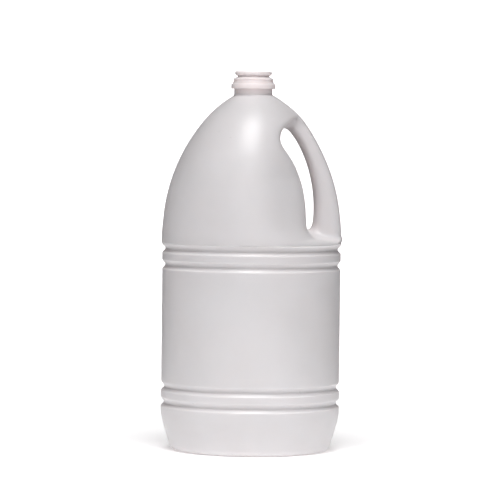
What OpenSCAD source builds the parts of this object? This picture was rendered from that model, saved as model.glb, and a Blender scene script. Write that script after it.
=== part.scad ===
// Five-litre plastic jug, blow-moulded in one hollow piece with its handle.
// Millimetres, +Z up, the origin at the middle of the base, the handle towards +X.

/* [Body] */
// Radius of the straight body
body_r = 81.6; // [76:0.1:88]
// How far the bands round the grooves stand proud of the body
band_proud = 0.3; // [0:0.05:1]
// Height where the shoulder starts to curve in
shoulder_z = 198.5; // [194:0.5:206]
// Radius of the shoulder's arc in side view
dome_r = 161; // [150:1:175]
// Radius of the tighter arc that leads up to the neck
crown_r = 102; // [80:1:120]
// Distance from the axis where that tighter arc starts
crown_start = 44; // [41:0.5:48]
// Wall thickness
wall = 1.2; // [0.9:0.05:1.6]

/* [Foot] */
// Outer radius of the flat ring that the jug stands on
ring_outer = 72.7; // [68:0.1:76]
// Inner radius of that ring
ring_inner = 60; // [50:0.5:64]
// Height where the tapered foot meets the body
foot_z = 31.5; // [26:0.5:36]
// Rounding between the foot and the standing ring
foot_round = 7; // [4:0.5:9]
// Rounding between the foot and the body
hip_round = 45; // [20:1:60]
// Height of the push-up in the base
push_up = 9; // [4:0.5:14]
// Width of the slope that leads up to the push-up
push_up_slope = 9; // [6:0.5:14]

/* [Grooves] */
// Heights of the four grooves
groove_z = [43.9, 58.2, 169.6, 184.3];
// Depth of a groove
groove_depth = 2.65; // [1.5:0.05:3.5]
// Height of a groove above its middle
groove_up = 4.2; // [3.4:0.1:4.8]
// Height of a groove below its middle
groove_down = 3.7; // [3:0.1:4.6]
// Height of the flat bottom of a groove
groove_flat = 1.4; // [1:0.1:2]

/* [Handle] */
// Height of the recess floor at the outer wall
ledge_z = 190.6; // [190:0.2:192.4]
// Slope of the recess floor in degrees
ledge_slope = 9; // [6:0.5:13]
// Rounding between the recess floor and its wall
ledge_round = 13; // [8:0.5:15]
// Distance of the recess wall from the axis, at its foot
recess_low = 45.3; // [41:0.1:48]
// Distance of the recess wall from the axis, at its deepest
recess_high = 19.8; // [19:0.1:26]
// Height where the recess is deepest
recess_z = 280; // [276:0.5:284]
// Height above it where the recess's ceiling starts
recess_hold = 3; // [1:0.5:5]
// Height over which the ceiling comes out to the shoulder
recess_rise = 20; // [18:0.5:22]
// How far the ceiling comes out over that height
recess_out = 16.8; // [14:0.1:20]
// Direction of the slanted cheeks beside the handle in degrees
cheek_angle = 50.5; // [46:0.5:58]
// Depth of the cheeks below the shoulder's surface
cheek_depth = 14.9; // [10:0.1:17]
// Height where the cheeks are deepest
cheek_z = 249.5; // [240:0.5:258]
// Height where the cheeks end on the shoulder
cheek_top = 297; // [292:0.5:300]
// Depth of the handle at its lower end
grip_low = 24.2; // [20:0.1:26]
// Depth of the handle at its upper end
grip_high = 13.9; // [11:0.1:15]
// How far the middle of the handle stands proud of the shoulder
grip_proud = 0.6; // [0:0.1:1]
// How much further its two ends stand proud
grip_swell = 0.8; // [0:0.1:1.5]
// Half the width of the handle
grip_half_w = 12; // [10:0.5:13.5]
// Squareness of the handle's section, where 2 is an ellipse
grip_square = 2.5; // [2:0.1:3.2]

/* [Neck] */
// Radius of the plain neck
neck_r = 17.5; // [16.8:0.1:18.5]
// Height of the neck, from the shoulder to the mouth
neck_h = 21.93; // [20:0.01:26]
// Radius of the bore
bore_r = 12.5; // [11:0.1:13]
// Length of the straight bore
bore_h = 17.5; // [14:0.1:18.5]
// Radius of the lip bead
lip_r = 16.9; // [15.5:0.1:17.8]
// Radius at the bottom of the groove under the lip
lip_groove_r = 14.2; // [13.8:0.1:15]
// Radius of the snap bead
snap_r = 18.6; // [17.6:0.1:19.4]
// Radius of the flange
flange_r = 20.2; // [19.2:0.1:22]
// Thickness of the flange
flange_h = 4.4; // [2.5:0.1:5]

/* [Hidden] */
$fn = 96;
// Radius of the bands round the grooves
band_r = body_r + band_proud;
// Height of the joint line between the turned body and the shoulder skin
seam_z = ledge_z - 1.5;
// How deep the shoulder skin reaches into the turned walls
tongue = 0.5;
// Share of the wall's thickness that this tongue takes
tongue_share = 0.33;
// Columns of the shoulder skin
cols = 48;
// Columns of the lower and upper root, either side of the middle
low_half = 2;
top_half = 3;
// Rows of the lower and upper root
low_rows = 6;
top_rows = 4;
// Points round the handle
around = 4 * low_half + 2 * low_rows;
// Rings in each root and in the handle between them
root_rings = 5;
grip_rings = 10;
// Angles on the shoulder's arc where the handle's own section starts and ends
grip_start = 7;
grip_end = 34;
grip_mid = (grip_start + grip_end) / 2;
// Angles on that arc between which the handle's depth changes
depth_start = 5;
depth_end = 36;

// The shoulder's outline in side view: one long arc and a tighter one at the neck.
dome_x = body_r - dome_r;
crown_z = shoulder_z + sqrt(dome_r^2 - (crown_start - dome_x)^2);
crown_angle = atan2(crown_start - dome_x, crown_z - shoulder_z);
crown_x = crown_start - crown_r * sin(crown_angle);
crown_mid_z = crown_z - crown_r * cos(crown_angle);
function crown_height(r) = crown_mid_z + sqrt(crown_r^2 - (r - crown_x)^2);
neck_z = crown_height(neck_r);
mouth_z = neck_z + neck_h;
function shoulder_r(z) =
    z <= shoulder_z ? body_r
    : z <= crown_z ? dome_x + sqrt(dome_r^2 - (z - shoulder_z)^2)
    : crown_x + sqrt(max(0, crown_r^2 - (z - crown_mid_z)^2));

// The recess: a floor, a wall that leans in as it rises and a ceiling.
fillet_x = recess_low + ledge_round;
fillet_z = ledge_z + (body_r - fillet_x) * tan(ledge_slope) + ledge_round / cos(ledge_slope);
floor_end = fillet_x - ledge_round * sin(ledge_slope);
floor_end_z = fillet_z - ledge_round * cos(ledge_slope);
ceiling_z = recess_z + recess_hold;
function recess_lean(z) = (recess_low - recess_high) * (max(0, z - fillet_z) / (recess_z - fillet_z))^2.84;
function recess_wall(z) =
    z < floor_end_z ? floor_end + (floor_end_z - z) / tan(ledge_slope)
    : z < fillet_z ? fillet_x - sqrt(ledge_round^2 - (z - fillet_z)^2)
    : z < recess_z ? recess_low - recess_lean(z)
    : recess_high + recess_out * (max(0, z - ceiling_z) / recess_rise)^2.6;
function cheek(z) =
    let (down = max(0, cheek_z - z) / (cheek_z - ledge_z),
         up = max(0, z - cheek_z) / (cheek_top - cheek_z))
    shoulder_r(z) - cheek_depth * (1 - down^4.4 - up^1.15);

// Sharpness of the edges between the recess's sides, and where they meet the outer wall.
side_power = 10;
edge_power = 13;
function facet(a, d) = cos(a) > 0 ? (cos(a) / d)^side_power : 0;
function recess_sum(a, z) =
    facet(a, recess_wall(z)) + facet(a - cheek_angle, cheek(z)) + facet(a + cheek_angle, cheek(z));
function section_r(a, z) =
    let (r = shoulder_r(z), s = recess_sum(a, z), p = edge_power)
    z < ledge_z - 0.25 || s == 0 ? r : (r^(-p) + s^(p / side_power))^(-1 / p);
function skin(a, z) = let (r = section_r(a, z)) [r * cos(a), r * sin(a), z];

function unit(v) = v / norm(v);
function skin_normal(a, z) =
    unit(cross(skin(a + 1, z) - skin(a - 1, z), skin(a, z + 0.25) - skin(a, z - 0.25)));

// Heights of the skin's rows, with the rows of the two roots in their places.
floor_step = (floor_end_z - ledge_z) / 3;
ceiling_end = ceiling_z + recess_rise + 4;
rows = concat(
    [for (k = [0 : low_rows]) k == 0 ? ledge_z - 0.7
        : k < 5 ? ledge_z + (k - 1) * floor_step
        : k == 5 ? floor_end_z + 0.28 * ledge_round
        : floor_end_z + 0.66 * ledge_round],
    [for (k = [0 : 9]) fillet_z + 3 + k * (ceiling_z - fillet_z - 3) / 9],
    [for (k = [0 : top_rows]) ceiling_end - (top_rows - k) * (recess_rise - 4) / top_rows],
    [for (k = [1 : 5]) ceiling_end + k * (neck_z - 0.4 - ceiling_end) / 5]);
low_row = 1;
top_row = low_row + low_rows + 11;
row_count = len(rows) + 2;
function column_angle(j) = j * 360 / cols;

// The two skins' body points: an embedded tongue, the rows and a tongue in the neck.
tongue_w = wall * tongue_share;
function ring(r, z) =
    [for (j = [0 : cols - 1]) [r * cos(column_angle(j)), r * sin(column_angle(j)), z]];
bore_out = neck_r - 1.5;
neck_wall = neck_r - bore_out;
function body_points(inner) = concat(
    ring(body_r - 0.46 * wall + (inner ? -tongue_w / 2 : tongue_w / 2), seam_z - tongue),
    [for (z = rows, j = [0 : cols - 1])
        let (a = column_angle(j), p = skin(a, z))
        !inner ? p
        : z < ledge_z ? p - [wall * cos(a), wall * sin(a), 0.15]
        : p - wall * skin_normal(a, z)],
    ring(neck_r - neck_wall / 2 + (inner ? -0.25 : 0.25), neck_z + 1.2));

// The rings of skin points that the two ends of the handle grow from.
function low_loop(k) =
    let (w = low_half, h = low_rows)
    k <= w ? [0, k]
    : k <= w + h ? [k - w, w]
    : k <= 3 * w + h ? [h, 2 * w + h - k]
    : k <= 3 * w + 2 * h ? [3 * w + 2 * h - k, -w]
    : [0, k - around];
function top_loop(k) =
    let (w = top_half, h = top_rows)
    k <= w ? [h, k]
    : k <= w + h ? [h - k + w, w]
    : k <= 3 * w + h ? [0, 2 * w + h - k]
    : k <= 3 * w + 2 * h ? [k - 3 * w - h, -w]
    : [h, k - around];
function loop_skin(row, at) = skin(column_angle(at[1]), rows[row - 1 + at[0]]);

// The direction on the skin from a loop's point into the root that it surrounds.
function unit_or_none(v) = norm(v) == 0 ? v : unit(v);
function inward(row, at, half, high) =
    let (dz = at[0] == 0 ? 0.2 : at[0] == high ? -0.2 : 0,
         da = at[1] == half ? -0.5 : at[1] == -half ? 0.5 : 0,
         a = column_angle(at[1]),
         z = rows[row - 1 + at[0]])
    unit(unit_or_none(skin(a, z + dz) - skin(a, z)) + unit_or_none(skin(a + da, z) - skin(a, z)));

// The handle's section, in the plane of a radius of the shoulder's arc.
function grip_depth(t) =
    grip_high + (grip_low - grip_high) * max(0, (depth_end - t) / (depth_end - depth_start))^1.25;
function power(v, e) = sign(v) * abs(v)^e;
function section(t, k) =
    let (b = k * 360 / around, d = grip_depth(t), m = 2 / grip_square,
         y = grip_half_w * power(sin(b), m),
         r = dome_x + dome_r * cos(t),
         sag = (r - sqrt(r^2 - y^2)) * (1 + cos(b)) / 2,
         proud = grip_proud + grip_swell * ((t - grip_mid) / (grip_mid - depth_start))^2,
         q = dome_r - d / 2 + (d / 2 + proud * (1 + cos(b)) / 2) * power(cos(b), m) - sag)
    [dome_x + q * cos(t), y, shoulder_z + q * sin(t)];
function along(t) = [-sin(t), 0, cos(t)];
function hermite(p, u, q, v, t) =
    p * (2 * t^3 - 3 * t^2 + 1) + u * (t^3 - 2 * t^2 + t) + q * (3 * t^2 - 2 * t^3) + v * (t^3 - t^2);

function low_root(k, t) =
    let (at = low_loop(k), p = loop_skin(low_row, at), q = section(grip_start, k), l = norm(q - p))
    hermite(p, inward(low_row, at, low_half, low_rows) * l, q, along(grip_start) * l * 1.2, t);
function top_root(k, t) =
    let (at = top_loop(k), p = loop_skin(top_row, at), q = section(grip_end, k), l = norm(q - p))
    hermite(q, along(grip_end) * l * 1.1, p, -inward(top_row, at, top_half, top_rows) * l * 0.9, t);
tube_rings = 2 * root_rings + grip_rings;
function tube_point(s, k) =
    s <= root_rings ? low_root(k, s / (root_rings + 1))
    : s <= root_rings + grip_rings
        ? section(grip_start + (s - root_rings - 1) * (grip_end - grip_start) / (grip_rings - 1), k)
    : top_root(k, (s - root_rings - grip_rings) / (root_rings + 1));
function wrap(k) = (k + around) % around;
function tube_normal(s, k) =
    unit(cross(tube_point(s, wrap(k + 1)) - tube_point(s, wrap(k - 1)),
               tube_point(s + 1, k) - tube_point(s - 1, k)));
function tube_points(inner) =
    [for (s = [1 : tube_rings], k = [0 : around - 1])
        inner ? tube_point(s, k) - wall * tube_normal(s, k) : tube_point(s, k)];

// Numbers of the points, and the faces between them.
skin_count = row_count * cols;
tube_count = tube_rings * around;
function at_body(i, j, inner) = (inner ? skin_count : 0) + i * cols + (j + cols) % cols;
function at_tube(s, k, inner) =
    s == 0 ? let (a = low_loop(wrap(k))) at_body(low_row + a[0], a[1], inner)
    : s == tube_rings + 1 ? let (a = top_loop(wrap(k))) at_body(top_row + a[0], a[1], inner)
    : 2 * skin_count + (inner ? tube_count : 0) + (s - 1) * around + wrap(k);
function in_root(i, j) =
    let (c = j >= cols / 2 ? j - cols : j)
    (i >= low_row && i < low_row + low_rows && c >= -low_half && c < low_half)
    || (i >= top_row && i < top_row + top_rows && c >= -top_half && c < top_half);
function quad(a, b, c, d, flip) = flip ? [[a, c, b], [a, d, c]] : [[a, b, c], [a, c, d]];
function skin_faces(inner) = [
    for (i = [0 : row_count - 2], j = [0 : cols - 1]) if (!in_root(i, j))
        each quad(at_body(i, j, inner), at_body(i + 1, j, inner),
                  at_body(i + 1, j + 1, inner), at_body(i, j + 1, inner), inner),
    for (s = [0 : tube_rings], k = [0 : around - 1])
        each quad(at_tube(s, k, inner), at_tube(s + 1, k, inner),
                  at_tube(s + 1, k + 1, inner), at_tube(s, k + 1, inner), inner)];
function end_faces() = [for (j = [0 : cols - 1], top = [false, true])
    let (i = top ? row_count - 1 : 0)
    each quad(at_body(i, j, false), at_body(i, j + 1, false),
              at_body(i, j + 1, true), at_body(i, j, true), top)];

module shoulder() {
    polyhedron(
        points = concat(body_points(false), body_points(true), tube_points(false), tube_points(true)),
        faces = concat(skin_faces(false), skin_faces(true), end_faces()),
        convexity = 10);
}

// An outline of corners [radius, height, rounding], moved in by d and rounded.
function heading(p, q) = atan2(q[1] - p[1], q[0] - p[0]);
function turn(a) = a > 180 ? a - 360 : a < -180 ? a + 360 : a;
function moved(c, i, d) =
    let (h0 = heading(c[max(i - 1, 0)], c[max(i, 1)]),
         h1 = heading(c[min(i, len(c) - 2)], c[min(i + 1, len(c) - 1)]),
         bend = turn(h1 - h0), mid = h0 + bend / 2)
    [c[i][0] + d / cos(bend / 2) * cos(mid + 90),
     c[i][1] + d / cos(bend / 2) * sin(mid + 90),
     c[i][2] == 0 ? 0 : max(0.3, c[i][2] - sign(bend) * d)];
function rounded(c, i) =
    i == 0 || i == len(c) - 1 || c[i][2] == 0 ? [[c[i][0], c[i][1]]]
    : let (h0 = heading(c[i - 1], c[i]), h1 = heading(c[i], c[i + 1]), bend = turn(h1 - h0),
           r = c[i][2], cut = r * abs(tan(bend / 2)), s = sign(bend),
           start = [c[i][0] - cut * cos(h0), c[i][1] - cut * sin(h0)],
           mid = start + s * r * [-sin(h0), cos(h0)],
           steps = max(2, ceil(abs(bend) / 15)))
      [for (k = [0 : steps]) let (h = h0 + bend * k / steps) mid + s * r * [sin(h), -cos(h)]];
function outline(c) = [for (i = [0 : len(c) - 1]) each rounded(c, i)];
function inset(c, d) = [for (i = [0 : len(c) - 1]) moved(c, i, d)];
function groove_corners(z, below, above) = [
    [below, z - groove_down, 0.8],
    [body_r - groove_depth, z - groove_flat / 2 - 0.2, 1.4],
    [body_r - groove_depth, z + groove_flat / 2, 1.4],
    [above, z + groove_up, 1.4]];

// The hip's rounding ends on the wall under the lowest groove.
hip_bend = atan((band_r - ring_outer) / foot_z);
hip_wall = groove_z[0] - groove_down - foot_z - 1;
hip = min(hip_round, hip_wall / tan(hip_bend / 2));
corners = concat(
    [[0, push_up, 0], [ring_inner - push_up_slope, push_up, 6], [ring_inner, 0, 3],
     [ring_outer, 0, foot_round], [band_r, foot_z, hip]],
    groove_corners(groove_z[0], band_r, band_r),
    groove_corners(groove_z[1], band_r, body_r),
    groove_corners(groove_z[2], body_r, band_r),
    groove_corners(groove_z[3], band_r, body_r),
    [[body_r, seam_z, 0]]);

// The turned body: foot, grooves and the straight wall up to the recess floor.
module turned_body() {
    out = outline(corners);
    in_corners = inset(corners, wall);
    in = outline(concat([[0, push_up + wall, 0]], [for (i = [1 : len(in_corners) - 2]) in_corners[i]],
                        [[body_r - wall, seam_z, 0]]));
    rotate_extrude()
        polygon(concat(out, [for (i = [len(in) - 1 : -1 : 0]) in[i]]));
}

// The neck with its lip bead, snap bead and flange round a straight bore.
module neck() {
    t = mouth_z;
    flange_top = t - 11.4;
    rotate_extrude()
        polygon([
            [bore_r, t - bore_h], [bore_r, t - 0.4], [bore_r + 0.4, t],
            [lip_r - 0.5, t], [lip_r, t - 0.8], [lip_r, t - 2.2], [lip_r - 0.8, t - 3.3],
            [lip_groove_r, t - 4.1], [lip_groove_r, t - 4.9],
            [snap_r, t - 6.7], [snap_r, t - 6.9], [snap_r - 0.6, t - 7.6], [snap_r - 0.6, t - 8.5],
            [snap_r + 0.1, t - 10.5], [snap_r + 0.1, flange_top],
            [flange_r - 0.4, flange_top], [flange_r, flange_top - 0.4],
            [flange_r, flange_top - flange_h], [neck_r, flange_top - flange_h],
            [neck_r, neck_z - 0.1],
            [bore_out, neck_z - 0.1], [bore_out, min(neck_z + 1.3, t - bore_h - 1.5)]]);
}

module jug() color([0.93, 0.93, 0.92]) {
    union() {
        turned_body();
        shoulder();
        neck();
    }
}

jug();
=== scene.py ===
"""A milky plastic jug, blow-moulded in one hollow piece with its handle, on a white studio floor."""

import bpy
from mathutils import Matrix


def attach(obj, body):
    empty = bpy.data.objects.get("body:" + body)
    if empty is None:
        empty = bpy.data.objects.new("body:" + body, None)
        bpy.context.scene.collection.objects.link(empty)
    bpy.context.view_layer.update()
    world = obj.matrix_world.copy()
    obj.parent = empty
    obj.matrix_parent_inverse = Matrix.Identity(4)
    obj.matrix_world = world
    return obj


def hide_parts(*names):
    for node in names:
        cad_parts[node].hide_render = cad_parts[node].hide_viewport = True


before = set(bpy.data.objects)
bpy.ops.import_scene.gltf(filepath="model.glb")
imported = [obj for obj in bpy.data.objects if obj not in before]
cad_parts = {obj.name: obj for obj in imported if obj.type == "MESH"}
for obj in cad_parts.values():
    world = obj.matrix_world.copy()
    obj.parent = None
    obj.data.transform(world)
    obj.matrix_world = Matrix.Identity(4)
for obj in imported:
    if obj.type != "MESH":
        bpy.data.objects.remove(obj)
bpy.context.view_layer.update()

import math
from types import SimpleNamespace

import bpy
import numpy as np
from mathutils import Matrix, Vector

bl_info = {
    "name": "Plastic jug",
    "version": (1, 0, 0),
    "blender": (4, 5, 0),
    "location": "View3D > Sidebar > Jug",
    "description": "Builds a blow-moulded jug with a hollow handle, and its studio",
    "category": "Add Mesh",
}

MM = 0.001
# Size of one pixel at the jug's axis, and the picture's width in pixels
PIXEL = 0.915 * MM
PICTURE = 500
# Height on the axis that the camera looks at, and the pixels by which it looks past the axis
MIDDLE = 0.183
OFFSET = 1.55
# Radius of the white table top in metres
TABLE = 0.62


# Sizes and colours that a user would change


def length(name, description, default):
    """A length in metres, with its default in millimetres."""
    return bpy.props.FloatProperty(
        name=name, description=description, default=default * MM, min=0.0, unit="LENGTH", precision=5
    )


class JugSizes(bpy.types.PropertyGroup):
    body_radius: length("Body radius", "Radius of the straight body", 81.6)
    band_radius: length("Band radius", "Radius of the bands between the grooves", 81.75)
    wall: length("Wall", "Thickness of the wall", 1.2)
    shoulder_height: length("Shoulder height", "Height where the shoulder starts to curve in", 198.5)
    shoulder_arc: length("Shoulder arc", "Radius of the shoulder in side view", 161)
    crown_arc: length("Crown arc", "Radius of the tighter arc that leads up to the neck", 102)
    crown_start: length("Crown start", "Distance from the axis where that arc starts", 44)
    ring_outer: length("Standing ring", "Outer radius of the ring that the jug stands on", 72.7)
    ring_inner: length("Ring inside", "Inner radius of that ring", 60)
    foot_height: length("Foot height", "Height where the tapered foot meets the body", 31.5)
    push_up: length("Push-up", "Height of the hollow under the base", 9)
    groove_depth: length("Groove depth", "Depth of the four grooves", 2.65)
    ledge_height: length("Ledge height", "Height of the recess floor at the outer wall", 190.6)
    ledge_round: length("Ledge rounding", "Rounding between the recess floor and its wall", 13)
    recess_low: length("Recess wall, low", "Distance of the recess wall from the axis at its foot", 45.3)
    recess_high: length("Recess wall, high", "Distance of that wall from the axis at its deepest", 19.8)
    recess_height: length("Recess height", "Height where the recess is deepest", 280)
    recess_rise: length("Recess rise", "Height over which the recess's ceiling comes out", 20)
    cheek_depth: length("Cheek depth", "Depth of the slanted cheeks below the shoulder's surface", 14.9)
    cheek_height: length("Cheek height", "Height where the cheeks are deepest", 249.5)
    cheek_top: length("Cheek top", "Height where the cheeks end on the shoulder", 297)
    grip_low: length("Grip, low", "Depth of the handle at its lower end", 24.2)
    grip_high: length("Grip, high", "Depth of the handle at its upper end", 13.9)
    grip_half_width: length("Grip half width", "Half the width of the handle", 12)
    root_round: length("Root rounding", "Rounding where the handle meets the recess", 10)
    neck_radius: length("Neck radius", "Radius of the plain neck", 17.5)
    neck_height: length("Neck height", "Height of the neck above the shoulder", 21.93)
    bore_radius: length("Bore radius", "Radius of the mouth", 12.5)
    bore_length: length("Bore length", "Length of the straight bore", 17.5)
    ridge: length("Parting ridge", "Height of the line that the mould leaves", 0.1)
    unevenness: length("Unevenness", "Depth of the wall's soft waves", 0.14)


class JugFinish(bpy.types.PropertyGroup):
    colour: bpy.props.FloatVectorProperty(
        name="Colour", description="Colour of the plastic", subtype="COLOR", size=3,
        min=0.0, max=1.0, default=(0.83, 0.775, 0.775)
    )
    roughness: bpy.props.FloatProperty(
        name="Roughness", description="Roughness of the moulded skin", subtype="FACTOR",
        min=0.0, max=1.0, default=0.36
    )
    glow: bpy.props.FloatProperty(
        name="Scatter", description="How far light spreads under the skin", subtype="FACTOR",
        min=0.0, max=1.0, default=0.85
    )


class StudioSizes(bpy.types.PropertyGroup):
    distance: bpy.props.FloatProperty(
        name="Camera distance", description="From the camera to the jug's axis",
        default=2.8, min=0.5, unit="LENGTH"
    )
    turn: bpy.props.FloatProperty(
        name="Turn", description="Angle of the camera round the jug",
        default=math.radians(-8), subtype="ANGLE"
    )
    eye: bpy.props.FloatProperty(
        name="Eye height", description="Height of the camera above the floor",
        default=0.292, unit="LENGTH"
    )
    lean: bpy.props.FloatProperty(
        name="Lean", description="Roll of the camera", default=math.radians(0.64), subtype="ANGLE"
    )
    key: bpy.props.FloatProperty(
        name="Overhead light", description="Strength of the overhead light", default=2.15, min=0.0
    )
    key_height: bpy.props.FloatProperty(
        name="Overhead height", description="Angle of the overhead light above the floor",
        default=math.radians(69), subtype="ANGLE"
    )
    room: bpy.props.FloatProperty(
        name="Room", description="Brightness of the room around the jug", default=0.1, min=0.0
    )
    front: bpy.props.FloatProperty(
        name="Front light", description="Brightness of the soft light behind the camera",
        default=0.98, min=0.0
    )
    front_height: bpy.props.FloatProperty(
        name="Front height", description="Angle of that light above the floor",
        default=math.radians(18), subtype="ANGLE"
    )
    backdrop: bpy.props.FloatProperty(
        name="Backdrop", description="Brightness of the backdrop behind the jug", default=1.5, min=0.0
    )
    table_glow: bpy.props.FloatProperty(
        name="Table glow", description="Light that the white table gives by itself",
        default=0.29, min=0.0
    )


def in_mm(sizes):
    """The property group's lengths in millimetres."""
    names = type(sizes).__annotations__
    return SimpleNamespace(**{name: getattr(sizes, name) / MM for name in names})


# Outlines of corners [radius, height, rounding]


def turned(angle):
    """The angle between -180 and 180 degrees."""
    return (angle + 180) % 360 - 180


def headings(corners):
    steps = np.diff(np.array(corners, float)[:, :2], axis=0)
    return np.degrees(np.arctan2(steps[:, 1], steps[:, 0]))


def inset(corners, depth):
    """The corners moved to the left of the direction of travel by that depth."""
    ways = headings(corners)
    ways = np.concatenate([ways[:1], ways, ways[-1:]])
    moved = []
    for (x, z, rounding), before, after in zip(corners, ways[:-1], ways[1:]):
        bend = turned(after - before)
        aim = math.radians(before + bend / 2 + 90)
        reach = depth / math.cos(math.radians(bend / 2))
        new = 0 if rounding == 0 else max(0.3, rounding - math.copysign(depth, bend))
        moved.append([x + reach * math.cos(aim), z + reach * math.sin(aim), new])
    return moved


def outline(corners, step=7.0, arc_step=12.0):
    """The points of the rounded outline, with long straight runs divided."""
    ways = headings(corners)
    points = [np.array(corners[0][:2], float)]
    for i in range(1, len(corners) - 1):
        corner = np.array(corners[i][:2], float)
        bend = turned(ways[i] - ways[i - 1])
        rounding, way = corners[i][2], math.radians(ways[i - 1])
        if rounding == 0 or abs(bend) < 0.5:
            points.append(corner)
            continue
        side = math.copysign(1, bend)
        cut = rounding * abs(math.tan(math.radians(bend / 2)))
        start = corner - cut * np.array([math.cos(way), math.sin(way)])
        middle = start + side * rounding * np.array([-math.sin(way), math.cos(way)])
        parts = max(3, math.ceil(abs(bend) / arc_step))
        for part in range(parts + 1):
            way = math.radians(ways[i - 1] + bend * part / parts)
            points.append(middle + side * rounding * np.array([math.sin(way), -math.cos(way)]))
    points.append(np.array(corners[-1][:2], float))
    divided = [points[0]]
    for point in points[1:]:
        gap = point - divided[-1]
        parts = max(1, math.ceil(np.hypot(*gap) / step))
        divided += [divided[-1] + gap * part / parts for part in range(1, parts + 1)]
    return np.array(divided)


# The jug's form, in millimetres


def soft_step(x):
    x = np.clip(x, 0, 1)
    return x * x * (3 - 2 * x)


def bump(x, middle, width):
    return np.exp(-(((x - middle) / width) ** 2))


class JugForm:
    """The surfaces of the jug's shoulder, recess and handle, as distances from a point."""

    LEDGE_SLOPE = math.tan(math.radians(9))
    CHEEK_ANGLE = math.radians(50.5)
    # Sharpness of the edges between the recess's sides, and squareness of the handle's section
    FACET_POWER = 10
    GRIP_POWER = 2.6
    # Height of the deepest part of the recess, and how far its ceiling comes out above that
    RECESS_HOLD = 3
    RECESS_OUT = 16.8
    # Share of the wall's lean over which it turns where it is deepest
    SOFT_TURN = 0.2
    # Angles on the shoulder's arc between which the handle's depth changes
    DEPTH_START, DEPTH_END = 5, 36
    # The soft bead round the rim: how far it stands out, its middle above the rim and its spread
    RIM_BEAD, RIM_LIFT, RIM_SPREAD = 0.8, 4.4, 9
    GROOVES = (43.9, 58.2, 169.6, 184.3)

    def __init__(self, size):
        self.size = size
        s = size
        self.arc_x = s.body_radius - s.shoulder_arc
        run = s.crown_start - self.arc_x
        self.crown_z = s.shoulder_height + math.sqrt(s.shoulder_arc**2 - run**2)
        share = s.crown_arc / s.shoulder_arc
        self.crown_x = s.crown_start - share * run
        self.crown_mid = self.crown_z - share * (self.crown_z - s.shoulder_height)
        self.neck_z = self.crown_mid + math.sqrt(s.crown_arc**2 - (s.neck_radius - self.crown_x) ** 2)
        self.mouth = self.neck_z + s.neck_height
        slope = math.atan(self.LEDGE_SLOPE)
        self.fillet_x = s.recess_low + s.ledge_round
        climb = (s.body_radius - self.fillet_x) * self.LEDGE_SLOPE
        self.fillet_z = s.ledge_height + climb + s.ledge_round / math.cos(slope)
        self.floor_end = self.fillet_x - s.ledge_round * math.sin(slope)
        self.floor_end_z = self.fillet_z - s.ledge_round * math.cos(slope)

    def rim(self, z):
        """How far the soft bead round the recess floor's rim stands out."""
        return self.RIM_BEAD * bump(z, self.size.ledge_height + self.RIM_LIFT, self.RIM_SPREAD)

    def shoulder_radius(self, z):
        """Radius of the shoulder's side view: a long arc, then a tighter one up to the neck."""
        s = self.size
        dome = self.arc_x + np.sqrt(np.maximum(s.shoulder_arc**2 - (z - s.shoulder_height) ** 2, 0))
        crown = self.crown_x + np.sqrt(np.maximum(s.crown_arc**2 - (z - self.crown_mid) ** 2, 0))
        above = np.where(z <= self.crown_z, dome, crown)
        return np.where(z <= s.shoulder_height, s.body_radius, above) + self.rim(z)

    def recess_wall(self, z):
        """Distance of the recess from the axis, straight towards the handle."""
        s = self.size
        floor = self.floor_end + (self.floor_end_z - z) / self.LEDGE_SLOPE
        fillet = self.fillet_x - np.sqrt(np.maximum(s.ledge_round**2 - (z - self.fillet_z) ** 2, 0))
        lean = (np.maximum(z - self.fillet_z, 0) / (s.recess_height - self.fillet_z)) ** 2.84
        # The wall turns softly where it is deepest.
        near = np.maximum(self.SOFT_TURN - np.abs(lean - 1), 0) / self.SOFT_TURN
        lean = np.minimum(lean, 1) - near**2 * self.SOFT_TURN / 4
        lift = np.maximum(z - s.recess_height - self.RECESS_HOLD, 0) / s.recess_rise
        wall = s.recess_low - (s.recess_low - s.recess_high) * lean + self.RECESS_OUT * lift**2.6
        return np.where(z < self.floor_end_z, floor, np.where(z < self.fillet_z, fillet, wall))

    def cheek(self, z):
        """Distance of the slanted cheeks beside the handle from the axis."""
        s = self.size
        down = np.maximum(s.cheek_height - z, 0) / (s.cheek_height - s.ledge_height)
        up = np.maximum(z - s.cheek_height, 0) / (s.cheek_top - s.cheek_height)
        return self.shoulder_radius(z) - s.cheek_depth * (1 - down**4.4 - up**1.15)

    def section(self, angle, z):
        """Radius of the body at that angle and height, with the recess but not the handle."""
        s = self.size
        total = 0
        wall, cheek = self.recess_wall(z), self.cheek(z)
        for turn, reach in ((0, wall), (self.CHEEK_ANGLE, cheek), (-self.CHEEK_ANGLE, cheek)):
            total = total + (np.maximum(np.cos(angle - turn), 1e-4) / reach) ** self.FACET_POWER
        facet = total ** (-1 / self.FACET_POWER)
        # The edge between recess and outer wall is sharpest at the rim.
        power = 14 - 1.4 * soft_step((z - s.ledge_height - 1.4) / 14)
        radius = self.shoulder_radius(z)
        return radius * (1 + (radius / facet) ** power) ** (-1 / power)

    def body_distance(self, p):
        """Distance from the body with its recess, from its radius and slopes."""
        angle = np.arctan2(p[:, 1], p[:, 0])
        radius, z = np.hypot(p[:, 0], p[:, 1]), p[:, 2]
        here = self.section(angle, z)
        rise = (self.section(angle, z + 0.1) - self.section(angle, z - 0.1)) / 0.2
        round_ = (self.section(angle + 0.002, z) - self.section(angle - 0.002, z)) / (0.004 * here)
        return (radius - here) / np.sqrt(1 + rise**2 + round_**2)

    def grip_depth(self, t):
        """Depth of the handle at t degrees along the shoulder's arc."""
        s = self.size
        share = np.maximum(0, (self.DEPTH_END - t) / (self.DEPTH_END - self.DEPTH_START))
        return s.grip_high + (s.grip_low - s.grip_high) * share**1.25

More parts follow.
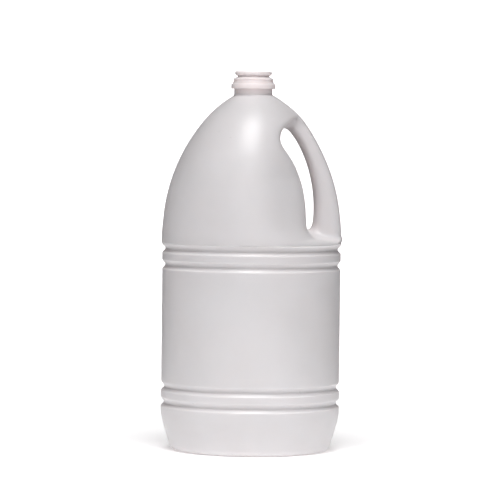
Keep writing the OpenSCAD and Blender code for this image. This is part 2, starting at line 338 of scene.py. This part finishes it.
    def grip_proud(self, t):
        """How far the handle stands out of that arc, most at its two ends."""
        return 0.6 + 0.7 * bump(t, -1, 4) + 1.2 * bump(t, 39, 8)

    def handle_distance(self, p):
        """Distance from the handle, whose section follows the shoulder's arc."""
        s = self.size
        x, y, z = p[:, 0] - self.arc_x, p[:, 1], p[:, 2] - s.shoulder_height
        q, t = np.hypot(x, z), np.degrees(np.arctan2(z, x))
        depth = self.grip_depth(t)
        half = (depth + self.grip_proud(t)) / 2
        n = q - (s.shoulder_arc + self.grip_proud(t) - half)
        flat = 0.5 * (1 + np.clip(n / half, -1, 1))
        radius = np.maximum(p[:, 0], 20)
        n = n + (radius - np.sqrt(np.maximum(radius**2 - y**2, 1))) * flat
        m = self.GRIP_POWER
        a, b = np.abs(n) / half + 1e-6, np.abs(y) / s.grip_half_width + 1e-6
        norm = (a**m + b**m) ** (1 / m)
        slope = norm ** (1 - m) * np.hypot(a ** (m - 1) / half, b ** (m - 1) / s.grip_half_width)
        return (norm - 1) / slope

    def skin_limit(self, p):
        """Distance from the surface that the mould allows the outer skin."""
        s = self.size
        radius, z = np.hypot(p[:, 0], p[:, 1]), p[:, 2]
        rise = (self.shoulder_radius(z + 0.1) - self.shoulder_radius(z - 0.1)) / 0.2
        t = np.degrees(np.arctan2(z - s.shoulder_height, p[:, 0] - self.arc_x))
        # Only the handle stands proud, and it sinks into the rim at its foot.
        side = soft_step((s.grip_half_width + 14 - np.abs(p[:, 1])) / 14) * (p[:, 0] > 0)
        side = side * soft_step((z - s.ledge_height + 1.5) / 7)
        return (radius - self.shoulder_radius(z)) / np.sqrt(1 + rise**2) - self.grip_proud(t) * side

    def distance(self, p):
        """Distance from the outer skin: body and handle, joined by a rounding."""
        s = self.size
        # The rounding is larger round the handle's foot.
        k = s.root_round * (1 + 0.6 * soft_step((s.ledge_height + 36 - p[:, 2]) / 30))
        body, handle = self.body_distance(p), self.handle_distance(p)
        gap = np.hypot(np.maximum(k - body, 0), np.maximum(k - handle, 0))
        return np.maximum(np.maximum(k, np.minimum(body, handle)) - gap, self.skin_limit(p))

    def gradient(self, p, step=0.05):
        slopes = [self.distance(p + step * axis) - self.distance(p - step * axis) for axis in np.eye(3)]
        return np.stack(slopes, -1) / (2 * step)

    def settle(self, p, rounds=8):
        """Moves the points to the outer skin."""
        for _ in range(rounds):
            slope = self.gradient(p)
            size = np.maximum((slope**2).sum(-1, keepdims=True), 0.05)
            move = -self.distance(p)[:, None] * slope / size
            reach = np.linalg.norm(move, axis=1, keepdims=True)
            p = p + move * np.minimum(1, 2.0 / np.maximum(reach, 1e-9))
        return p

    def normals(self, p):
        slope = self.gradient(p)
        return slope / np.linalg.norm(slope, axis=1, keepdims=True)


# The jug's mesh: rings round the axis, with the handle as a tube between two openings in them

# Degrees between columns, and between a parting line and the columns next to it
STEP = 3.0
SIDE = 0.35
# Columns either side of the middle and rows of the lower and the upper opening
LOW_HALF, LOW_ROWS = 5, 14
TOP_HALF, TOP_ROWS = 7, 10
# Points round the handle, and rings in each root and between them
AROUND = 4 * LOW_HALF + 2 * LOW_ROWS
ROOT_RINGS, GRIP_RINGS = 12, 30
# Angles on the shoulder's arc where the handle's own section starts and ends
GRIP_START, GRIP_END = 8.0, 33.0


def column_angles():
    """The rings' angles in radians, with close columns beside the two parting lines."""
    half = [0, SIDE] + list(np.arange(STEP, 180 - STEP / 2, STEP)) + [180 - SIDE, 180]
    return np.radians(np.array(half + [-a for a in half[-2:0:-1]]))


def shoulder_rows(form):
    """Heights of the shoulder's rows, and the number of the upper opening's lowest row."""
    s = form.size
    floor = [s.ledge_height + (form.floor_end_z - s.ledge_height) * k / 7 for k in range(8)]
    bend = [form.fillet_z - s.ledge_round * math.cos(math.radians(a)) for a in (19, 29, 39, 49, 59)]
    low = [s.ledge_height - 0.7, s.ledge_height - 0.35] + floor + bend
    low = low[: LOW_ROWS + 1]
    rest = [form.fillet_z - s.ledge_round * math.cos(math.radians(a)) for a in (69, 79)]
    top_start, top_end = s.recess_height + 10.5, s.recess_height + 28
    wall = list(np.linspace(form.fillet_z, top_start, 30)[:-1])
    top = list(np.linspace(top_start, top_end, TOP_ROWS + 1))
    crown = list(np.linspace(top_end, form.neck_z - 0.35, 11)[1:])
    rows = low + rest + wall + top + crown
    return np.array(rows), LOW_ROWS + len(rest) + len(wall) + 1


def loop(half, rows, upward):
    """Steps (row, column) round an opening, from the middle of its outer edge."""
    first, last = (0, rows) if upward else (rows, 0)
    way = 1 if upward else -1
    steps = [(first, k) for k in range(half + 1)]
    steps += [(first + way * k, half) for k in range(1, rows + 1)]
    steps += [(last, half - k) for k in range(1, 2 * half + 1)]
    steps += [(last - way * k, -half) for k in range(1, rows + 1)]
    steps += [(first, -half + k) for k in range(1, half)]
    return steps


def grip_ring(form, t):
    """A ring of points round the handle at t degrees along the shoulder's arc."""
    s = form.size
    turn = np.linspace(0, 2 * math.pi, 1441)
    half = (form.grip_depth(t) + form.grip_proud(t)) / 2
    middle = s.shoulder_arc + form.grip_proud(t) - half
    power = 2 / form.GRIP_POWER
    across, out = np.sin(turn), np.cos(turn)
    across = s.grip_half_width * np.sign(across) * np.abs(across) ** power
    out = middle + half * np.sign(out) * np.abs(out) ** power
    run = np.concatenate([[0], np.cumsum(np.hypot(np.diff(across), np.diff(out)))])
    side = 0.6 / run[-1]
    half_turn = AROUND // 2
    shares = np.concatenate([[0], np.linspace(side, 0.5 - side, half_turn - 1), [0.5]])
    shares = np.concatenate([shares, 1 - shares[-2:0:-1]])
    across, out = np.interp(shares * run[-1], run, across), np.interp(shares * run[-1], run, out)
    t = math.radians(t)
    return np.stack([form.arc_x + out * math.cos(t), across, s.shoulder_height + out * math.sin(t)], -1)


def curve_between(start, leave, end, arrive, share):
    """A point on the curve with those ends and those directions at them."""
    a, b = share**2, share**3
    return (
        start * (2 * b - 3 * a + 1) + leave * (b - 2 * a + share)
        + end * (3 * a - 2 * b) + arrive * (b - a)
    )


def root_rings(edge, inward, ring, t, out_pull, in_pull):
    """Rings that run from an opening's edge to the handle's first or last whole ring."""
    gap = np.linalg.norm(ring - edge, axis=1, keepdims=True)
    along = np.array([-math.sin(math.radians(t)), 0, math.cos(math.radians(t))])
    way = 1 if t < 20 else -1
    shares = np.linspace(0, 1, ROOT_RINGS + 2)[1:-1]
    return [
        curve_between(edge, inward * gap * out_pull, ring, way * along * gap * in_pull, share)
        for share in shares
    ]


def opening_edge(form, skin, rows, angles, first_row, steps):
    """The points round an opening and, at each, the direction into it along the skin."""
    at = [(first_row + row, column) for row, column in steps]
    edge = np.array([skin[row, column] for row, column in at])
    last_row = max(row for row, _ in steps)
    half = max(column for _, column in steps)
    inward = []
    for row, column in steps:
        rise = 0.2 if row == 0 else -0.2 if row == last_row else 0
        side = -0.01 if column == half else 0.01 if column == -half else 0
        angle, z = angles[column], rows[first_row + row]
        here = form.section(angle, z)
        parts = np.array([0, 0, 1.0 if first_row + row == 0 else 0.0])
        for da, dz in ((side, 0), (0, rise)):
            if da or (dz and first_row + row):
                there = form.section(angle + da, z + dz)
                step = np.array([
                    there * math.cos(angle + da) - here * math.cos(angle),
                    there * math.sin(angle + da) - here * math.sin(angle), dz,
                ])
                parts += step / np.linalg.norm(step)
        inward.append(parts / np.linalg.norm(parts))
    return edge, np.array(inward)


def rings_of(path, angles):
    """A turned surface: one ring of points for each (radius, height)."""
    radius, z = path[:, :1], path[:, 1:]
    return np.stack(np.broadcast_arrays(radius * np.cos(angles), radius * np.sin(angles), z), -1)


def body_corners(form):
    """From the middle of the base out over the standing ring and up past the four grooves."""
    s = form.size
    corners = [
        [0, s.push_up, 0], [s.ring_inner - 9, s.push_up, 6], [s.ring_inner, 0, 3],
        [s.ring_outer, 0, 7], [s.band_radius, s.foot_height, 45],
    ]
    seam = s.ledge_height - 1.5
    top = s.body_radius + form.rim(seam)
    radii = (s.band_radius, s.band_radius, s.body_radius, s.band_radius, top)
    deep = s.body_radius - s.groove_depth
    for z, below, above in zip(form.GROOVES, radii[:-1], radii[1:]):
        corners += [
            [below, z - 3.7, 0.8], [deep, z - 0.9, 1.4], [deep, z + 0.7, 1.4], [above, z + 4.2, 1.6]
        ]
    return corners + [[top, seam, 0]]


def neck_corners(form):
    """From the plain neck up over the flange, the snap bead and the lip, and down the bore.

    Radii are given from the plain neck's, and heights down from the mouth.
    """
    s, top = form.size, form.mouth
    plain, bore, root = s.neck_radius, s.bore_radius, form.neck_z
    return [
        [plain + 0.3, root, 0], [plain - 0.05, root + 0.8, 0.8], [plain, top - 15.8, 0.5],
        [plain + 2.7, top - 15.8, 0.35], [plain + 2.7, top - 11.35, 0.5],
        [plain + 1.25, top - 11.3, 0.5], [plain + 1.2, top - 10.5, 0.8], [plain + 0.4, top - 8.5, 0.6],
        [plain + 0.45, top - 7.6, 0.3], [plain + 1.1, top - 6.8, 0.25], [plain - 3.2, top - 4.9, 0.4],
        [plain - 3.3, top - 4.2, 0.4], [plain - 1.5, top - 3.3, 0.35], [plain - 0.6, top - 2.3, 0.5],
        [plain - 0.6, top - 0.9, 0.5], [plain - 1.1, top, 0.5], [bore, top, 0.5],
        [bore, top - s.bore_length, 2], [plain - 1.5, root + 0.8, 1.5], [plain - 1.4, root - 0.3, 0],
    ]


def foot_row(form, row, z):
    """The lowest row, brought out to the whole radius under the handle's foot."""
    across = np.abs(row[:, 1])
    foot = soft_step((form.size.grip_half_width + 6 - across) / 8) * (row[:, 0] > 0)
    reach = form.shoulder_radius(z) / np.hypot(row[:, 0], across)
    moved = row.copy()
    moved[:, :2] *= (1 + foot * (reach - 1))[:, None]
    return moved


def shoulder_skin(form, angles, rows):
    """Rows of points on the shoulder's outer skin."""
    circle = np.stack([np.cos(angles), np.sin(angles)], -1)
    skin = np.empty((len(rows), len(angles), 3))
    for row, z in zip(skin, rows):
        row[:, :2] = form.section(angles, np.full(len(angles), z))[:, None] * circle
        row[:, 2] = z
    settled = form.settle(skin.reshape(-1, 3)).reshape(skin.shape)
    settled[0] = foot_row(form, skin[0], rows[0])
    return settled


def handle_tube(form, skin, rows, angles, openings):
    """The handle's rings, from the lower opening to the upper one."""
    (low_edge, low_in), (top_edge, top_in) = (
        opening_edge(form, skin, rows, angles, first, steps) for first, steps in openings
    )
    grip = [grip_ring(form, t) for t in np.linspace(GRIP_START, GRIP_END, GRIP_RINGS)]
    tube = root_rings(low_edge, low_in, grip[0], GRIP_START, 1.0, 1.1)
    tube += grip
    tube += root_rings(top_edge, top_in, grip[-1], GRIP_END, 0.9, 1.1)[::-1]
    tube = form.settle(np.array(tube).reshape(-1, 3)).reshape(len(tube), AROUND, 3)
    return relax_tube(form, tube, low_edge, top_edge)


def inner_side(form, skin, tube, angles):
    """The inner skin and tube. The parting ridge is then raised on the outer ones."""
    s = form.size
    normals = form.normals(skin.reshape(-1, 3)).reshape(skin.shape)
    normals[0] = np.stack([np.cos(angles), np.sin(angles), np.zeros(len(angles))], -1)
    tube_normals = form.normals(tube.reshape(-1, 3)).reshape(tube.shape)
    inner = skin - s.wall * normals
    inner[0, :, 2] -= 0.35
    # The rows under the rim are evened out, because the wall turns sharply there.
    near = LOW_ROWS
    for _ in range(6):
        inner[1:near] += 0.5 * ((inner[:near - 1] + inner[2:near + 1]) / 2 - inner[1:near])
    inner_tube = tube - s.wall * tube_normals
    for line in (0, len(angles) // 2):
        skin[:, line] += s.ridge * normals[:, line]
    for line in (0, AROUND // 2):
        tube[:, line] += s.ridge * tube_normals[:, line]
    return inner, inner_tube


def ring_faces(count, columns, holes):
    """Faces between the stack's rings, apart from the openings' cells."""
    faces = []
    for row in range(count - 1):
        for column in range(columns):
            if (row, column) not in holes:
                here, after = row * columns + column, row * columns + (column + 1) % columns
                faces.append((here, after, after + columns, here + columns))
    return faces


def build_skin(form):
    """All the points and faces of the jug's closed double wall."""
    s = form.size
    angles = column_angles()
    columns = len(angles)
    rows, top_row = shoulder_rows(form)
    low_steps, top_steps = loop(LOW_HALF, LOW_ROWS, True), loop(TOP_HALF, TOP_ROWS, False)
    skin = shoulder_skin(form, angles, rows)
    tube = handle_tube(form, skin, rows, angles, ((0, low_steps), (top_row, top_steps)))
    inner_skin, inner_tube = inner_side(form, skin, tube, angles)

    corners = body_corners(form)
    inner_corners = inset(corners, s.wall)
    inner_corners[0][0] = 0
    low_path, inner_path = outline(corners), outline(inner_corners)
    low, inner_low = rings_of(low_path[1:], angles), rings_of(inner_path[1:], angles)
    raise_ridge(low, angles, s.ridge)
    neck = rings_of(outline(neck_corners(form), step=2.5, arc_step=20), angles)

    # The stack runs up the outside, over the lip and down the inside.
    stack = np.concatenate([low, skin, neck, inner_skin[::-1], inner_low[::-1]])
    outer_start = len(low)
    inner_last = outer_start + len(rows) + len(neck) + len(rows) - 1
    holes = set()
    for first, half, high in ((0, LOW_HALF, LOW_ROWS), (top_row, TOP_HALF, TOP_ROWS)):
        for row in range(first, first + high):
            for column in range(-half, half):
                holes.add((outer_start + row, column % columns))
                holes.add((inner_last - 1 - row, column % columns))
    faces = ring_faces(len(stack), columns, holes)

    def spot(ring, k, inside):
        """Number of a point of the handle, or of the opening's edge beyond its last ring."""
        k = k % AROUND
        if 0 < ring <= len(tube):
            return (len(stack) * columns + (len(tube) * AROUND if inside else 0)
                    + (ring - 1) * AROUND + k)
        row, column = low_steps[k] if ring == 0 else top_steps[k]
        row += 0 if ring == 0 else top_row
        level = inner_last - row if inside else outer_start + row
        return level * columns + column % columns

    for inside in (False, True):
        for ring in range(len(tube) + 1):
            for k in range(AROUND):
                ends = ((ring, k), (ring, k + 1), (ring + 1, k + 1), (ring + 1, k))
                quad = tuple(spot(*end, inside) for end in ends)
                faces.append(quad[::-1] if inside else quad)

    poles = np.array([[0, 0, low_path[0][1]], [0, 0, inner_path[0][1]]])
    points = np.concatenate([part.reshape(-1, 3) for part in (stack, tube, inner_tube, poles)])
    pole, last = len(points) - 2, (len(stack) - 1) * columns
    for column in range(columns):
        after = (column + 1) % columns
        faces.append((pole, after, column))
        faces.append((pole + 1, last + column, last + after))
    return points, faces


def relax_tube(form, tube, low_edge, top_edge):
    """Evens out the rings in the two roots, keeping them on the skin."""
    for _ in range(12):
        whole = np.concatenate([low_edge[None], tube, top_edge[None]])
        middle = (whole[:-2] + whole[2:]) / 2
        round_ = (np.roll(whole[1:-1], 1, axis=1) + np.roll(whole[1:-1], -1, axis=1)) / 2
        pull = 0.25 * (middle - tube) + 0.15 * (round_ - tube)
        pull[:, [0, AROUND // 2]] = 0.25 * (middle - tube)[:, [0, AROUND // 2]]
        pull[ROOT_RINGS + 2:-ROOT_RINGS - 2] = 0
        tube = form.settle((tube + pull).reshape(-1, 3), 2).reshape(tube.shape)
        tube[:, [0, AROUND // 2], 1] = 0
    return tube


def raise_ridge(rings, angles, height):
    """Lifts the two parting lines off the turned body, but not off its standing ring."""
    for line in (0, len(angles) // 2):
        path = np.stack([rings[:, line, 0] * math.cos(angles[line]), rings[:, line, 2]], -1)
        way = np.gradient(path, axis=0)
        way /= np.linalg.norm(way, axis=1, keepdims=True)
        lift = height * np.minimum(1, np.abs(path[:, 1]) / 4)
        rings[:, line, 0] += lift * way[:, 1] * math.cos(angles[line])
        rings[:, line, 2] -= lift * way[:, 0]


# Node trees


class Socket:
    """A node's output, which adds Math nodes when it is used in an expression."""

    def __init__(self, maker, link):
        self.maker, self.link = maker, link

    def maths(self, operation, *values):
        return self.maker.node("ShaderNodeMath", {"operation": operation}, dict(enumerate(values)))

    def __add__(self, other):
        return self.maths("ADD", self, other)

    def __radd__(self, other):
        return self.maths("ADD", other, self)

    def __sub__(self, other):
        return self.maths("SUBTRACT", self, other)

    def __rsub__(self, other):
        return self.maths("SUBTRACT", other, self)

    def __mul__(self, other):
        return self.maths("MULTIPLY", self, other)

    def __rmul__(self, other):
        return self.maths("MULTIPLY", other, self)


class Maker:
    """Adds nodes to a tree, and links their sockets."""

    def __init__(self, tree):
        self.tree = tree

    def node(self, kind, settings=None, inputs=None, output=0):
        """A new node with those settings and input values or links, as its output."""
        made = self.tree.nodes.new(kind)
        for name, value in (settings or {}).items():
            setattr(made, name, value)
        for name, value in (inputs or {}).items():
            if isinstance(value, Socket):
                self.tree.links.new(value.link, made.inputs[name])
            else:
                made.inputs[name].default_value = value
        return Socket(self, made.outputs[output]) if made.outputs else None

    def ramp(self, value, stops):
        """A colour ramp with those (place, grey or colour) stops."""
        made = self.tree.nodes.new("ShaderNodeValToRGB")
        points = made.color_ramp.elements
        while len(points) < len(stops):
            points.new(0.5)
        for point, (place, shade) in zip(points, stops):
            point.position = place
            point.color = (shade, shade, shade, 1) if isinstance(shade, float) else (*shade, 1)
        self.tree.links.new(value.link, made.inputs[0])
        return Socket(self, made.outputs[0])

    def mix(self, share, first, second):
        """A mix of two colours, each a socket or three numbers."""
        made = self.tree.nodes.new("ShaderNodeMix")
        made.data_type = "RGBA"
        for place, value in ((0, share), (6, first), (7, second)):
            if isinstance(value, Socket):
                self.tree.links.new(value.link, made.inputs[place])
            else:
                made.inputs[place].default_value = (*value, 1) if place else value
        return Socket(self, made.outputs[2])


def blank_material(name):
    material = bpy.data.materials.new(name)
    material.use_nodes = True
    material.node_tree.nodes.clear()
    return material, Maker(material.node_tree)


def milky_plastic(finish):
    """Moulded milky plastic: soft mottling, faint upright lines, a fine grain and a few specks."""
    material, maker = blank_material("milky_plastic")
    spot = maker.node("ShaderNodeTexCoord", output="Object")

    def noise(scale, size, detail, roughness=0.5):
        place = maker.node("ShaderNodeMapping", {}, {"Vector": spot, "Scale": scale})
        return maker.node(
            "ShaderNodeTexNoise", {},
            {"Vector": place, "Scale": size, "Detail": detail, "Roughness": roughness},
        )

    cloud = noise((1, 1, 1), 14.0, 3.0)
    streak = noise((1, 1, 0.06), 160.0, 2.0)
    grain = noise((1, 1, 1), 2600.0, 2.0)
    skin = noise((1, 1, 1), 420.0, 2.0, 0.6)
    speck_place = maker.node("ShaderNodeTexVoronoi", {}, {"Vector": spot, "Scale": 70.0})
    speck = maker.ramp(speck_place, [(0.0, 1.0), (0.035, 1.0), (0.05, 0.0)])
    chosen = maker.ramp(noise((1, 1, 1), 33.0, 0.0), [(0.0, 0.0), (0.66, 0.0), (0.69, 1.0)])

    colour = tuple(finish.colour)
    deep = tuple(c * f for c, f in zip(colour, (0.965, 0.955, 0.95)))
    tone = maker.mix(maker.ramp(cloud, [(0.35, 0.0), (0.65, 1.0)]), deep, colour)
    tone = maker.mix(speck * chosen * 0.35, tone, (0.42, 0.39, 0.36))
    rough = finish.roughness + (cloud - 0.5) * 0.08 + (skin - 0.5) * 0.06

    height = grain * 0.1 + skin * 0.35 + streak * 0.25
    bump_ = maker.node("ShaderNodeBump", {}, {"Strength": 0.16, "Distance": 0.0004, "Height": height})
    shader = maker.node(
        "ShaderNodeBsdfPrincipled",
        {"subsurface_method": "RANDOM_WALK"},
        {
            "Base Color": tone, "Roughness": rough, "IOR": 1.53, "Subsurface Weight": finish.glow,
            "Subsurface Radius": (1.0, 0.92, 0.88), "Subsurface Scale": 0.006, "Normal": bump_,
        },
    )
    maker.node("ShaderNodeOutputMaterial", {}, {"Surface": shader})
    return material


def uneven_tree(material):
    """Geometry nodes that give a moulded wall its soft waves, away from its foot and its neck."""
    tree = bpy.data.node_groups.new("uneven_wall", "GeometryNodeTree")
    for name, kind in (
        ("Geometry", "NodeSocketGeometry"), ("Depth", "NodeSocketFloat"), ("Wave", "NodeSocketFloat"),
        ("Foot", "NodeSocketFloat"), ("Neck", "NodeSocketFloat"), ("Material", "NodeSocketMaterial"),
    ):
        tree.interface.new_socket(name, in_out="INPUT", socket_type=kind)
    tree.interface.new_socket("Geometry", in_out="OUTPUT", socket_type="NodeSocketGeometry")
    maker = Maker(tree)
    given = tree.nodes.new("NodeGroupInput")

    def entry(name):
        return Socket(maker, given.outputs[name])

    spot = maker.node("GeometryNodeInputPosition")
    normal = maker.node("GeometryNodeInputNormal")
    wave = maker.node("ShaderNodeTexNoise", {}, {"Vector": spot, "Scale": entry("Wave"), "Detail": 1.0})
    split = tree.nodes.new("ShaderNodeSeparateXYZ")
    tree.links.new(spot.link, split.inputs[0])
    height = Socket(maker, split.outputs[2])
    keep_foot = maker.node(
        "ShaderNodeMapRange", {"interpolation_type": "SMOOTHSTEP"},
        {"Value": height, "From Min": 0.002, "From Max": entry("Foot")},
    )
    keep_neck = maker.node(
        "ShaderNodeMapRange", {"interpolation_type": "SMOOTHSTEP"},
        {"Value": height, "From Min": entry("Neck"), "From Max": entry("Neck") - 0.03},
    )
    lift = (wave - 0.5) * 2 * entry("Depth") * keep_foot * keep_neck
    move = maker.node("ShaderNodeVectorMath", {"operation": "SCALE"}, {0: normal, "Scale": lift})
    moved = maker.node("GeometryNodeSetPosition", {}, {"Geometry": entry("Geometry"), "Offset": move})
    real = maker.node("GeometryNodeRealizeInstances", {}, {"Geometry": moved})
    done = maker.node("GeometryNodeSetMaterial", {}, {"Geometry": real, "Material": entry("Material")})
    maker.node("NodeGroupOutput", {}, {"Geometry": done})
    return tree


def through_nodes(piece, tree, **inputs):
    """Runs the tree on the piece and keeps the result as a plain mesh."""
    modifier = piece.modifiers.new("shape", "NODES")
    modifier.node_group = tree
    entries = [item for item in tree.interface.items_tree if item.in_out == "INPUT"]
    sockets = {item.name: item.identifier for item in entries}
    for name, value in inputs.items():
        modifier[sockets[name]] = value
    piece.update_tag()
    bpy.context.view_layer.update()
    evaluated = piece.evaluated_get(bpy.context.evaluated_depsgraph_get())
    mesh = bpy.data.meshes.new_from_object(evaluated)
    piece.modifiers.remove(modifier)
    piece.data = mesh
    mesh.name = piece.name
    return piece


def mesh_piece(name, points, faces):
    """A smooth mesh object at the origin."""
    mesh = bpy.data.meshes.new(name)
    mesh.from_pydata(points.tolist(), [], faces)
    mesh.validate()
    mesh.update()
    mesh.polygons.foreach_set("use_smooth", [True] * len(mesh.polygons))
    piece = bpy.data.objects.new(name, mesh)
    bpy.context.scene.collection.objects.link(piece)
    return piece


# Operators


class MESH_OT_jug_shell(bpy.types.Operator):
    """Builds the moulded jug: foot, grooved body, recessed shoulder, hollow handle and neck"""

    bl_idname = "mesh.jug_shell"
    bl_label = "Jug"

    def execute(self, context):
        sizes, finish = context.scene.jug_sizes, context.scene.jug_finish
        form = JugForm(in_mm(sizes))
        points, faces = build_skin(form)
        jug = mesh_piece("jug_shell", points * MM, faces)
        material = milky_plastic(finish)
        jug.data.materials.append(material)
        through_nodes(
            jug, uneven_tree(material), Depth=sizes.unevenness, Wave=19.0, Foot=0.02,
            Neck=form.neck_z * MM, Material=material,
        )
        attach(jug, "root")
        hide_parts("jug")
        return {"FINISHED"}


class SCENE_OT_jug_studio(bpy.types.Operator):
    """Builds the white floor, the overhead light, the surroundings and the camera"""

    bl_idname = "scene.jug_studio"
    bl_label = "Studio"

    def execute(self, context):
        studio = context.scene.jug_studio_sizes
        scene = context.scene
        add_floor(studio)
        add_sun("overhead", studio.key, studio.turn, studio.key_height, spread=28)
        add_surroundings(scene, studio)
        add_camera(scene, studio)
        scene.view_settings.view_transform = "Standard"
        return {"FINISHED"}


def add_floor(studio):
    """A round white table top."""
    sides = 96
    angles = np.arange(sides) * 2 * math.pi / sides
    points = np.stack([TABLE * np.cos(angles), TABLE * np.sin(angles), np.zeros(sides)], -1)
    floor = mesh_piece("floor", points, [tuple(range(sides))])
    material, maker = blank_material("white_table")
    shader = maker.node(
        "ShaderNodeBsdfPrincipled", {},
        {
            "Base Color": (0.9, 0.9, 0.905, 1), "Roughness": 0.6,
            "Emission Color": (1, 1, 1, 1), "Emission Strength": studio.table_glow,
        },
    )
    maker.node("ShaderNodeOutputMaterial", {}, {"Surface": shader})
    floor.data.materials.append(material)


def add_sun(name, strength, turn, rise, spread):
    """A distant light from that direction, softened over an angle of spread degrees."""
    light = bpy.data.lights.new(name, "SUN")
    light.energy = strength
    light.angle = math.radians(spread)
    lamp = bpy.data.objects.new(name, light)
    aim = Vector((math.sin(turn) * math.cos(rise), -math.cos(turn) * math.cos(rise), math.sin(rise)))
    lamp.rotation_euler = aim.to_track_quat("Z", "Y").to_euler()
    bpy.context.scene.collection.objects.link(lamp)


def add_surroundings(scene, studio):
    """A dim grey room with a white backdrop behind the jug."""
    world = bpy.data.worlds.new("room")
    world.use_nodes = True
    world.node_tree.nodes.clear()
    maker = Maker(world.node_tree)
    way = maker.node("ShaderNodeTexCoord", output="Generated")

    def lobe(turn, rise, start, end):
        """1 near that direction, falling to 0 between those two angles from it in degrees."""
        aim = (math.sin(turn) * math.cos(rise), -math.cos(turn) * math.cos(rise), math.sin(rise))
        near = maker.node(
            "ShaderNodeVectorMath", {"operation": "DOT_PRODUCT"}, {0: way, 1: aim}, output="Value"
        )
        far_edge, near_edge = math.cos(math.radians(end)), math.cos(math.radians(start))
        return maker.node(
            "ShaderNodeMapRange", {"interpolation_type": "SMOOTHSTEP"},
            {"Value": near, "From Min": far_edge, "From Max": near_edge},
        )

    drop = math.atan2(studio.eye - MIDDLE, studio.distance)
    backdrop = lobe(studio.turn + math.pi, -drop, start=8.5, end=14)
    front = lobe(studio.turn, studio.front_height, start=0, end=72)
    level = studio.room + front * studio.front + backdrop * studio.backdrop
    glow = maker.node("ShaderNodeBackground", {}, {"Color": (1.0, 0.96, 0.97, 1), "Strength": level})
    maker.node("ShaderNodeOutputWorld", {}, {"Surface": glow})
    scene.world = world


def add_camera(scene, studio):
    """The photograph's view: level with the shoulder's top and turned a little off the handle."""
    turn, distance = studio.turn, studio.distance
    shift = Vector((math.cos(turn), math.sin(turn), 0)) * (OFFSET * PIXEL)
    place = Vector((math.sin(turn) * distance, -math.cos(turn) * distance, studio.eye)) - shift
    target = Vector((0, 0, MIDDLE)) - shift
    data = bpy.data.cameras.new("camera")
    data.sensor_width = 36
    data.lens = data.sensor_width * distance / (PICTURE * PIXEL)
    data.clip_end = 50
    camera = bpy.data.objects.new("camera", data)
    aim = (place - target).to_track_quat("Z", "Y").to_matrix().to_4x4()
    roll = Matrix.Rotation(studio.lean, 4, "Z")
    camera.matrix_world = Matrix.Translation(place) @ aim @ roll
    scene.collection.objects.link(camera)
    scene.camera = camera


class VIEW3D_PT_jug(bpy.types.Panel):
    """The jug's sizes and the buttons that build it"""

    bl_label = "Plastic jug"
    bl_idname = "VIEW3D_PT_jug"
    bl_space_type = "VIEW_3D"
    bl_region_type = "UI"
    bl_category = "Jug"

    def draw(self, context):
        scene, layout = context.scene, self.layout
        for group in (scene.jug_sizes, scene.jug_finish, scene.jug_studio_sizes):
            box = layout.box()
            for name in type(group).__annotations__:
                box.prop(group, name)
        for operator in OPERATORS:
            layout.operator(operator.bl_idname)


GROUPS = {"jug_sizes": JugSizes, "jug_finish": JugFinish, "jug_studio_sizes": StudioSizes}
OPERATORS = (MESH_OT_jug_shell, SCENE_OT_jug_studio)
CLASSES = (*GROUPS.values(), *OPERATORS, VIEW3D_PT_jug)


def register():
    for item in CLASSES:
        bpy.utils.register_class(item)
    for name, group in GROUPS.items():
        setattr(bpy.types.Scene, name, bpy.props.PointerProperty(type=group))


def unregister():
    for name in GROUPS:
        delattr(bpy.types.Scene, name)
    for item in reversed(CLASSES):
        bpy.utils.unregister_class(item)


def main():
    register()
    bpy.ops.mesh.jug_shell()
    bpy.ops.scene.jug_studio()


if __name__ == "__main__":
    main()
